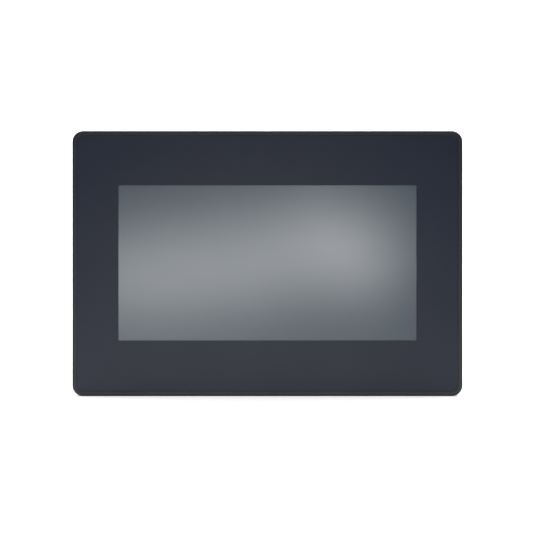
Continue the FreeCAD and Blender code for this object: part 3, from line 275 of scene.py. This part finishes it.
def label_stock():
    """Silver-grey polyester label stock with a fine brushed look."""
    g = Graph("label_polyester")
    lines = g.noise(0.0003, 2, 0.6, where=g.stretch((0.05, 1, 1)))
    slow = g.noise(0.02, 3)
    shade = g.mix(g.spread(lines, 0.3, 0.7), (0.36, 0.37, 0.38), (0.47, 0.48, 0.49))
    return g.finish(shade, g.spread(slow, 0.3, 0.7, 0.3, 0.4), 0.35, g.bump(lines, 0.000004))


def ink(name, colour):
    """Printed ink, a little thin in patches."""
    g = Graph(name)
    patchy = g.noise(0.0006, 3, 0.6)
    shade = g.mix(g.spread(patchy, 0.3, 0.75), colour, scaled(colour, 1.5))
    return g.finish(shade, g.spread(patchy, 0.3, 0.7, 0.42, 0.55))


BLACK = (0.018, 0.018, 0.019)
finishes = {
    "bezel_plastic": moulded(
        "bezel_plastic", (0.0120, 0.0144, 0.0210), 0.40, 0.00040, 0.000010, 0.06, shine=0.36
    ),
    "overlay_print": overlay_print(),
    "touch_film_hard_coat": touch_surface(),
    "float_glass": clear_plastic("float_glass", (0.55, 0.62, 0.60), 0.05),
    "adhesive_tape": moulded("adhesive_tape", BLACK, 0.7, 0.0004, 0.00002),
    "polyimide": ribbon_film(),
    "module_foam": moulded("module_foam", BLACK, 0.85, 0.0005, 0.00006),
    "module_steel": rolled_metal("module_steel", (0.56, 0.57, 0.58), 0.30, (0.04, 1, 1)),
    "crystal_glass": clear_plastic("crystal_glass", (0.05, 0.055, 0.06), 0.08),
    "diffuser_film": clear_plastic("diffuser_film", (0.85, 0.86, 0.86), 0.45),
    "acrylic": clear_plastic("acrylic", (0.80, 0.83, 0.84), 0.06),
    "lamp_board": moulded("lamp_board", (0.75, 0.75, 0.70), 0.4),
    "tray_plastic": moulded("tray_plastic", (0.74, 0.75, 0.75), 0.42),
    "zinc_steel": rolled_metal("zinc_steel", (0.62, 0.63, 0.64), 0.34, (1, 1, 0.05), stain=0.22),
    "screw_steel": rolled_metal("screw_steel", (0.66, 0.65, 0.62), 0.26, (1, 0.2, 1)),
    "seal_rubber": rubber(),
    "board_laminate": solder_mask(),
    "brass_nickel": rolled_metal("brass_nickel", (0.70, 0.64, 0.48), 0.26, (1, 0.1, 1)),
    "chip_epoxy": moulded("chip_epoxy", (0.022, 0.022, 0.023), 0.5, 0.0002, 0.00001),
    "black_anodised": rolled_metal("black_anodised", (0.045, 0.045, 0.050), 0.38, (1, 0.1, 1), metal=0.85),
    "inductor_ferrite": moulded("inductor_ferrite", (0.060, 0.060, 0.062), 0.62, 0.0006, 0.00004),
    "capacitor_can": rolled_metal("capacitor_can", (0.72, 0.73, 0.74), 0.22, (1, 0.05, 1)),
    "passive_ceramic": moulded("passive_ceramic", (0.36, 0.27, 0.18), 0.4, 0.0003, 0.00001, 0.3),
    "buzzer_plastic": moulded("buzzer_plastic", BLACK, 0.38),
    "holder_plastic": moulded("holder_plastic", (0.022, 0.022, 0.024), 0.4),
    "cell_steel": rolled_metal("cell_steel", (0.74, 0.74, 0.72), 0.2, (0.05, 1, 1)),
    "socket_plastic": moulded("socket_plastic", (0.70, 0.66, 0.55), 0.38),
    "port_shield": rolled_metal("port_shield", (0.66, 0.66, 0.65), 0.24, (1, 1, 0.05)),
    "terminal_green": moulded("terminal_green", (0.012, 0.20, 0.060), 0.36, 0.0004, 0.000010, 0.12),
    "switch_red": moulded("switch_red", (0.42, 0.018, 0.016), 0.36),
    "slider_white": moulded("slider_white", (0.78, 0.78, 0.75), 0.36),
    "button_black": moulded("button_black", BLACK, 0.34),
    "cover_plastic": moulded(
        "cover_plastic", (0.026, 0.027, 0.032), 0.52, 0.00055, 0.000030, 0.10, specks=0.25
    ),
    "label_polyester": label_stock(),
    "clamp_zinc": coated("clamp_zinc", (0.022, 0.022, 0.024)),
    "foot_plastic": moulded("foot_plastic", (0.020, 0.020, 0.022), 0.42, 0.0003, 0.00001),
}

finishes["gilt"] = rolled_metal("gilt", (0.83, 0.62, 0.26), 0.2, (1, 1, 0.1), stain=0.1)
slot_of = {entry["node"]: entry["material_slot"] for entry in frame["record"]["subparts"]}
for name, thing in nodes.items():
    thing.data.materials.clear()
    thing.data.materials.append(finishes[slot_of[name]])


# ---------------------------------------------------------------- detail pieces

# How far the printed marks on the label and the cover stand up, in millimetres
PRINT_RISE = 0.03


def box_mm(name):
    """A node's lowest corner, its highest corner and its middle, in millimetres."""
    low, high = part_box(name)
    middle = [(a + b) / 2 / MM for a, b in zip(low, high)]
    return [a / MM for a in low], [b / MM for b in high], middle


class Piece:
    """One mesh of fine detail, drawn in millimetres. Back outlines are (x, z) raised along +Y from base;
    down outlines are (x, y) grown along -Z from base."""

    def __init__(self, name, body, like, material, bevel=0.03):
        self.name, self.body, self.like, self.material, self.bevel = name, body, like, material, bevel
        self.mesh = bmesh.new()

    def at(self, u, v, w, base, facing):
        place = (u, base + w, v) if facing == "back" else (u, v, base - w)
        return self.mesh.verts.new(Vector(place) * MM)

    def prism(self, outline, base, depth, facing="back"):
        low = [self.at(u, v, 0, base, facing) for u, v in outline]
        high = [self.at(u, v, depth, base, facing) for u, v in outline]
        self.mesh.faces.new(low)
        self.mesh.faces.new(high)
        self.sides(low, high)

    def ring(self, outer, inner, base, depth, facing="back"):
        """A raised border between two outlines of the same number of points."""
        loops = []
        for rise in (0, depth):
            for line in (outer, inner):
                loops.append([self.at(u, v, rise, base, facing) for u, v in line])
        for first, second in ((0, 1), (1, 3), (3, 2), (2, 0)):
            self.sides(loops[first], loops[second])

    def sides(self, first, second):
        count = len(first)
        for i in range(count):
            j = (i + 1) % count
            self.mesh.faces.new((first[i], first[j], second[j], second[i]))

    def sweep(self, section, places):
        """Carries a closed section along places. Each place is a function from (a, b) to a point in mm."""
        loops = [[self.mesh.verts.new(Vector(put(a, b)) * MM) for a, b in section] for put in places]
        for first, second in zip(loops, loops[1:]):
            self.sides(first, second)
        self.mesh.faces.new(loops[0])
        self.mesh.faces.new(loops[-1])

    def done(self):
        bmesh.ops.recalc_face_normals(self.mesh, faces=self.mesh.faces)
        mesh = bpy.data.meshes.new(self.name)
        self.mesh.to_mesh(mesh)
        self.mesh.free()
        mesh.materials.append(self.material)
        thing = bpy.data.objects.new(self.name, mesh)
        scene.collection.objects.link(thing)
        if self.bevel:
            edge = thing.modifiers.new("edge", "BEVEL")
            edge.width = self.bevel * MM
            edge.segments = 2
            edge.limit_method = "ANGLE"
        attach(thing, self.body)
        return thing


def box_line(u, v, width, height):
    a, b = width / 2, height / 2
    return [(u - a, v - b), (u + a, v - b), (u + a, v + b), (u - a, v + b)]


def soft_line(u, v, width, height, corner):
    """A rounded rectangle."""
    points = []
    for side_u, side_v, start in ((1, -1, -90), (1, 1, 0), (-1, 1, 90), (-1, -1, 180)):
        for i in range(5):
            angle = math.radians(start + 22.5 * i)
            reach_u = side_u * (width / 2 - corner) + corner * math.cos(angle)
            reach_v = side_v * (height / 2 - corner) + corner * math.sin(angle)
            points.append((u + reach_u, v + reach_v))
    return points


def round_line(u, v, radius, count=32):
    turns = [2 * math.pi * i / count for i in range(count)]
    return [(u + radius * math.cos(t), v + radius * math.sin(t)) for t in turns]


def plus_line(u, v, reach, half):
    a, b = reach, half
    upper = [(a, -b), (a, b), (b, b), (b, a), (-b, a), (-b, b)]
    lower = [(-a, b), (-a, -b), (-b, -b), (-b, -a), (b, -a), (b, -b)]
    return [(u + du, v + dv) for du, dv in upper + lower]


def label_print():
    """The label's printed form: border, header band, ruled rows with blank entries, and two signs."""
    _, high, middle = box_mm("rating_label")
    x, z, face = middle[0], middle[2], high[1]
    form = Piece("label_form", "panel", "rating_label", ink("label_ink", (0.020, 0.020, 0.022)), bevel=0)
    form.ring(soft_line(x, z, 70.6, 38.6, 1.2), soft_line(x, z, 69.9, 37.9, 0.9), face, PRINT_RISE)
    form.prism(soft_line(x, z + 15.4, 67.6, 4.6, 0.5), face, PRINT_RISE)
    for row in range(5):
        level = z + 10.6 - 5.4 * row
        form.prism(box_line(x - 8.5, level, 50.6, 0.22), face, PRINT_RISE)
        if row < 4:
            for start, length in ((-30.0, 9.0), (-15.0, 14.0 - 2.0 * row), (6.0, 7.0 + row)):
                form.prism(soft_line(x + start + length / 2, level - 2.7, length, 1.1, 0.3), face, PRINT_RISE)
    form.prism(box_line(x + 17.0, z - 0.2, 0.22, 21.8), face, PRINT_RISE)
    label_signs(form, x + 25.8, z, face)
    form.done()


def label_signs(form, x, z, face):
    """The direct-supply sign and the earth sign, in a box of their own."""
    outer, inner = soft_line(x, z - 0.2, 14.6, 21.6, 0.8), soft_line(x, z - 0.2, 14.1, 21.1, 0.6)
    form.ring(outer, inner, face, PRINT_RISE)
    form.prism(box_line(x, z + 4.6, 9.0, 0.8), face, PRINT_RISE)
    for dash in (-3.4, 0, 3.4):
        form.prism(box_line(x + dash, z + 2.4, 2.2, 0.8), face, PRINT_RISE)
    for i in range(3):
        form.prism(box_line(x, z - 4.2 - 1.8 * i, 9.0 - 3.0 * i, 0.7), face, PRINT_RISE)
    form.prism(box_line(x, z - 2.4, 0.7, 3.4), face, PRINT_RISE)


def plug_marks():
    """Plus, minus and earth signs on the supply plug, and the steel cages in its wire entries."""
    low, high, middle = box_mm("power_plug")
    x, face, front, bottom, pitch = middle[0], high[1], low[1], low[2], 5.08
    marks = Piece("plug_signs", "supply_plug", "power_plug", ink("sign_ink", (0.62, 0.62, 0.60)), bevel=0)
    top = bottom + 8.7
    marks.prism(plus_line(x - pitch, top, 0.9, 0.2), face, 0.04)
    marks.prism(box_line(x, top, 1.8, 0.4), face, 0.04)
    marks.prism(box_line(x + pitch, top + 0.6, 0.35, 1.0), face, 0.04)
    for i, width in enumerate((1.9, 1.2, 0.5)):
        marks.prism(box_line(x + pitch, top - 0.05 - 0.45 * i, width, 0.24), face, 0.04)
    marks.done()
    cages = Piece("plug_cages", "supply_plug", "plug_screws", finishes["brass_nickel"])
    for i in (-1, 0, 1):
        entry = (x + pitch * i, front + 3.3)
        outer, inner = soft_line(*entry, 3.7, 4.1, 0.4), soft_line(*entry, 2.7, 3.1, 0.3)
        cages.ring(outer, inner, bottom + 7.3, 6.3, "down")
    cages.done()


def serial_pins():
    """The serial port's insulator and nine gilt pins with rounded ends."""
    low, _, middle = box_mm("com_port")
    x, y, top, pitch = middle[0], 22.0, low[2] + 5.9, 2.77
    insulator = Piece("serial_insulator", "panel", "com_port", finishes["button_black"], bevel=0.05)
    outline = [(x - 6.35, y - 3.6), (x + 6.35, y - 3.6), (x + 7.85, y + 3.6), (x - 7.85, y + 3.6)]
    insulator.prism(outline, top - 0.02, 0.9, "down")
    insulator.done()
    pins = Piece("serial_pins", "panel", "com_port", finishes["gilt"], bevel=0)
    section = round_line(0, 0, 1.0, 14)
    for count, row in ((5, y + 1.42), (4, y - 1.42)):
        for i in range(count):
            across = x - pitch / 2 * (count - 1) + pitch * i
            places = []
            for r, drop in ((0.58, 0.8), (0.58, 1.3), (0.54, 1.35), (0.54, 5.0), (0.46, 5.3), (0.22, 5.5)):
                places.append(lambda a, b, r=r, z=top - drop, m=across, w=row: (m + a * r, w + b * r, z))
            pins.sweep(section, places)
    pins.done()


def network_linings():
    """The network jack's plastic lining, gilt contacts and two lamps."""
    low, _, middle = box_mm("ethernet_jack")
    x, mouth, near = middle[0], low[2], low[1]
    y = near + 6.7
    lining = Piece("network_lining", "panel", "ethernet_jack", finishes["button_black"], bevel=0.06)
    lining.ring(box_line(x, y, 11.78, 6.98), box_line(x, y, 11.2, 6.4), mouth + 13.5, 13.4, "down")
    for side in (-1, 1):
        lining.prism(box_line(x + side * 7.0, y - 1.0, 1.2, 6.0), mouth + 0.3, 0.36, "down")
    lining.done()
    wires = Piece("network_contacts", "panel", "ethernet_jack", finishes["gilt"], bevel=0.05)
    for i in range(8):
        wires.prism(box_line(x - 3.57 + 1.02 * i, y - 3.0, 0.56, 1.1), mouth + 13.1, 9.2, "down")
    wires.done()
    lamps = (("link_lamp", -1, (0.10, 0.62, 0.14)), ("traffic_lamp", 1, (0.86, 0.42, 0.05)))
    for name, side, colour in lamps:
        lens = Piece(name, "panel", "ethernet_jack", clear_plastic(name, colour, 0.12), bevel=0.08)
        lens.prism(soft_line(x + side * 5.6, near + 1.6, 2.8, 1.7, 0.3), mouth + 0.4, 0.55, "down")
        lens.done()


def usb_linings():
    """Tongues and gilt contacts in the two USB sockets."""
    low, _, middle = box_mm("usb_host_port")
    x, y, mouth = middle[0], middle[1], low[2]
    tongue = Piece("host_tongue", "panel", "usb_host_port", finishes["slider_white"], bevel=0.12)
    tongue.prism(box_line(x, y + 1.0, 11.4, 2.1), mouth + 9.9, 9.05, "down")
    tongue.done()
    strips = Piece("host_contacts", "panel", "usb_host_port", finishes["gilt"], bevel=0.03)
    for reach in (-3.5, -1.0, 1.0, 3.5):
        strips.prism(box_line(x + reach, y - 0.09, 1.0, 0.14), mouth + 9.0, 7.4, "down")
    strips.done()
    low, _, middle = box_mm("usb_device_port")
    x, y, mouth = middle[0], middle[1], low[2]
    tongue = Piece("device_tongue", "panel", "usb_device_port", finishes["button_black"], bevel=0.08)
    tongue.prism(box_line(x, y - 0.3, 5.0, 1.06), mouth + 6.9, 6.05, "down")
    tongue.done()


def clamp_threads():
    """The right-hand threads of the four clamp screws, which fade into the shank at both ends."""
    root, crest, pitch, start = 1.95, 2.085, 0.7, 9.75
    steps, per_turn, fade = 580, 20, 14
    section = [(root, -0.29), (crest, -0.05), (crest, 0.05), (root, 0.29)]
    for n in (1, 2, 3, 4):
        like = f"clamp_{n}_screw"
        x, _, z = box_mm(like)[2]
        thread = Piece(f"clamp_{n}_thread", f"clamp_{n}_bolt", like, finishes[slot_of[like]], bevel=0)
        places = []
        for i in range(steps):
            turn = 2 * math.pi * i / per_turn
            rise = start + pitch * i / per_turn
            taper = min(1.0, i / fade, (steps - 1 - i) / fade)
            places.append(
                lambda a, b, t=turn, y=rise, k=taper: (
                    x + (root + (a - root) * k) * math.sin(t),
                    y + b,
                    z + (root + (a - root) * k) * math.cos(t),
                )
            )
        thread.sweep(section, places)
        thread.done()


def hatch_marks():
    """Moulded marks on the hatch: the way it slides and the cell behind it; and the cell's own sign."""
    _, high, middle = box_mm("battery_cover")
    x, top, face = middle[0], high[2], 32.45
    arrow = Piece("hatch_arrow", "battery_hatch", "battery_cover", finishes["cover_plastic"], bevel=0.05)
    arrow.prism([(x - 3.0, top - 7.2), (x + 3.0, top - 7.2), (x, top - 3.0)], face - 0.05, 0.23)
    arrow.prism(box_line(x, top - 9.6, 1.9, 4.4), face - 0.05, 0.23)
    level = top - 17.2
    arrow.ring(round_line(x, level, 4.2), round_line(x, level, 3.7), face - 0.05, 0.21)
    arrow.prism(plus_line(x, level, 2.0, 0.35), face - 0.05, 0.21)
    arrow.done()
    _, high, middle = box_mm("coin_cell")
    x, z, face = middle[0], middle[2], high[1]
    sign = Piece("cell_sign", "panel", "coin_cell", finishes["cell_steel"], bevel=0.02)
    sign.prism(plus_line(x, z + 3.4, 1.9, 0.3), face - 0.02, 0.08)
    sign.ring(round_line(x, z, 8.7, 48), round_line(x, z, 8.35, 48), face - 0.02, 0.07)
    sign.done()


def cover_marks():
    """Port pointers printed on the back wall, and the ejector pin marks on the cable bay's floor."""
    face, roof = box_mm("rear_cover")[1][1], -30.0
    signs = Piece("port_pointers", "panel", "rear_cover", ink("pointer_ink", (0.50, 0.50, 0.49)), bevel=0)
    ports = ((-52.0, 15.0), (-34.0, 6.0), (-24.0, 3.0), (-12.0, 6.0), (4.0, 11.0), (24.0, 13.0), (49.0, 26.0))
    for x, width in ports:
        signs.prism([(x - 1.0, roof + 5.0), (x + 1.0, roof + 5.0), (x, roof + 3.3)], face, PRINT_RISE)
        signs.prism(box_line(x, roof + 5.9, width, 0.35), face, PRINT_RISE)
    signs.done()
    pins = Piece("ejector_marks", "panel", "rear_cover", finishes["cover_plastic"], bevel=0.03)
    for x in (-55.0, -20.0, 20.0, 55.0):
        for z in (-55.5, -40.0):
            pins.ring(round_line(x, z, 2.6, 28), round_line(x, z, 2.3, 28), 10.45, 0.13)
    pins.done()


# Width, height, thickness, x, z of each legged chip, and whether its legs are on its upper and lower sides
LEGGED_CHIPS = [
    (12.0, 9.0, 1.1, -46, 31, True),
    (12.0, 9.0, 1.1, -46, 17, True),
    (12.0, 18.0, 1.1, 6, 24, False),
    (10.2, 7.5, 1.4, 49, -9, True),
    (5.0, 4.0, 1.4, -52, 4, True),
    (3.2, 2.5, 0.8, -20, 5, True),
]
CAPACITORS = [(x, z) for x in (-73.0, -62.0) for z in (24.0, 36.0)]


def chip_legs(board):
    """Gull-wing legs: each is a thin strip that leaves the chip's side, drops and lies on the board."""
    legs = Piece("chip_legs", "panel", "board_chips", finishes["screw_steel"], bevel=0)
    section = [(-0.15, -0.06), (0.15, -0.06), (0.15, 0.06), (-0.15, 0.06)]
    pitch = 0.8
    for width, height, _, x, z, upright in LEGGED_CHIPS:
        along, across = (width, height) if upright else (height, width)
        span = along - 1.0
        count = max(3, int(span / pitch))
        for side in (-1, 1):
            for i in range(count):
                place = (i + 0.5) / count * span - span / 2
                stations = []
                for out, rise in ((-0.1, 0.5), (0.35, 0.5), (0.55, 0.08), (1.0, 0.08)):
                    reach = side * (across / 2 + out)
                    if upright:
                        stations.append(lambda a, b, r=reach, y=board + rise: (x + place + a, y + b, z + r))
                    else:
                        stations.append(lambda a, b, r=reach, y=board + rise: (x + r, y + b, z + place + a))
                legs.sweep(section, stations)
    legs.done()


def board_print(board):
    """Printed outlines round the chips and capacitors, and each chip's first-pin dot."""
    outlines = Piece("board_print", "panel", "main_board", ink("board_ink", (0.66, 0.67, 0.64)), bevel=0)
    dots = Piece("chip_dots", "panel", "board_chips", ink("dot_ink", (0.30, 0.30, 0.29)), bevel=0)
    for width, height, thick, x, z, _ in LEGGED_CHIPS:
        outer = box_line(x, z, width + 2.6, height + 2.6)
        outlines.ring(outer, box_line(x, z, width + 2.24, height + 2.24), board, 0.02)
        dots.prism(round_line(x - width / 2 + 0.9, z - height / 2 + 0.9, 0.35, 16), board + thick, 0.02)
    for x, z in CAPACITORS:
        outlines.ring(soft_line(x, z, 10.0, 10.0, 1.2), soft_line(x, z, 9.6, 9.6, 1.0), board, 0.02)
    outlines.done()
    dots.done()


def capacitor_marks(board):
    """The dark segment printed on each can's negative side, and the cross scored in its top, drawn as thin
    dark lines of painted shade where its grooves are.
    """
    black = ink("capacitor_ink_and_groove_shade", (0.015, 0.015, 0.018))
    marks = Piece("capacitor_marks", "panel", "capacitors", black, bevel=0)
    top = board + 10.2
    for x, z in CAPACITORS:
        arc = [math.radians(-50 + 100 * i / 12) for i in range(13)]
        marks.prism([(x - 3.4 * math.cos(t), z + 3.4 * math.sin(t)) for t in arc], top, 0.02)
        # The cross: painted shade of the scored grooves, drawn as thin raised dark lines in the same material
        # as the printed segment
        marks.prism(box_line(x + 0.8, z, 3.6, 0.12), top, 0.015)
        marks.prism(box_line(x + 0.8, z, 0.12, 3.6), top, 0.02)
    marks.done()


label_print()
plug_marks()
serial_pins()
network_linings()
usb_linings()
clamp_threads()
hatch_marks()
cover_marks()
board_back = box_mm("main_board")[1][1]
chip_legs(board_back)
board_print(board_back)
capacitor_marks(board_back)


# ---------------------------------------------------------------- studio


def studio():
    """A white floor and sweep, and a world that is white behind the object but lights it only dimly."""
    low = cad_box[0][2]
    g = Graph("studio_white")
    paper = g.mix(g.noise(0.3, 2), (0.90, 0.90, 0.90), (0.92, 0.92, 0.92))
    glow = {"Emission_Color": (1, 1, 1, 1), "Emission_Strength": 0.32}
    white = g.finish(paper, 0.9, Specular_IOR_Level=0.0, **glow)
    front, bevel, reach, rise, half = -0.45, 0.5, 1.6, 3.0, 4.0
    profile = [(front, low), (reach - bevel, low)]
    for i in range(1, 9):
        angle = math.radians(90 * i / 8)
        profile.append((reach - bevel + bevel * math.sin(angle), low + bevel - bevel * math.cos(angle)))
    profile.append((reach, rise))
    mesh = bpy.data.meshes.new("floor")
    points = [(x, y, z) for y, z in profile for x in (-half, half)]
    faces = [(2 * i, 2 * i + 1, 2 * i + 3, 2 * i + 2) for i in range(len(profile) - 1)]
    mesh.from_pydata(points, [], faces)
    for face in mesh.polygons:
        face.use_smooth = True
    floor = bpy.data.objects.new("floor", mesh)
    scene.collection.objects.link(floor)
    mesh.materials.append(white)

    world = bpy.data.worlds.new("studio")
    scene.world = world
    world.use_nodes = True
    tree = world.node_tree
    seen = tree.nodes.new("ShaderNodeLightPath")
    strength = tree.nodes.new("ShaderNodeMapRange")
    strength.inputs["To Min"].default_value = ROOM
    strength.inputs["To Max"].default_value = 1.0
    tree.links.new(seen.outputs["Is Camera Ray"], strength.inputs["Value"])
    tree.links.new(strength.outputs["Result"], tree.nodes["Background"].inputs["Strength"])
    tree.nodes["Background"].inputs["Color"].default_value = (1.0, 1.0, 1.0, 1.0)
    scene.view_settings.view_transform = "Standard"


def soft_light(name, place, target, width, height, power, turn=0.0):
    """A rectangular soft box at place, aimed at target and turned about its aim by turn degrees."""
    data = bpy.data.lights.new(name, "AREA")
    data.shape = "RECTANGLE"
    data.size, data.size_y = width, height
    data.energy = power
    thing = bpy.data.objects.new(name, data)
    thing.location = place
    aim = (Vector(target) - Vector(place)).to_track_quat("-Z", "Y")
    thing.rotation_mode = "QUATERNION"
    thing.rotation_quaternion = aim @ Quaternion((0, 0, 1), math.radians(turn))
    scene.collection.objects.link(thing)
    return thing


def camera():
    """Straight in front of the screen, at the height of its middle."""
    data = bpy.data.cameras.new("camera")
    data.lens = 85.0
    data.sensor_width = 36.0
    width_seen, aside, down = 0.28178, 0.0005, 0.0016
    distance = width_seen * data.lens / data.sensor_width
    thing = bpy.data.objects.new("camera", data)
    thing.location = (-aside, cad_box[0][1] - distance, -down)
    thing.rotation_euler = (math.pi / 2, 0, 0)
    scene.collection.objects.link(thing)
    scene.camera = thing


studio()
camera()
soft_light("overhead", (0, 0.1, 1.6), (0, 0.1, 0), 2.6, 2.2, 50.0)
soft_light("backdrop_wash", (0, 0.5, 1.4), (0, 1.6, 0.2), 3.0, 0.4, 34.0)
soft_light("window_band", (-0.166, -1.85, -0.011), (-0.166, 0, -0.011), 0.423, 0.137, 2.23, turn=7)
soft_light("window_patch", (0.151, -1.85, 0.030), (0.151, 0, 0.030), 0.193, 0.097, 1.30, turn=-21)
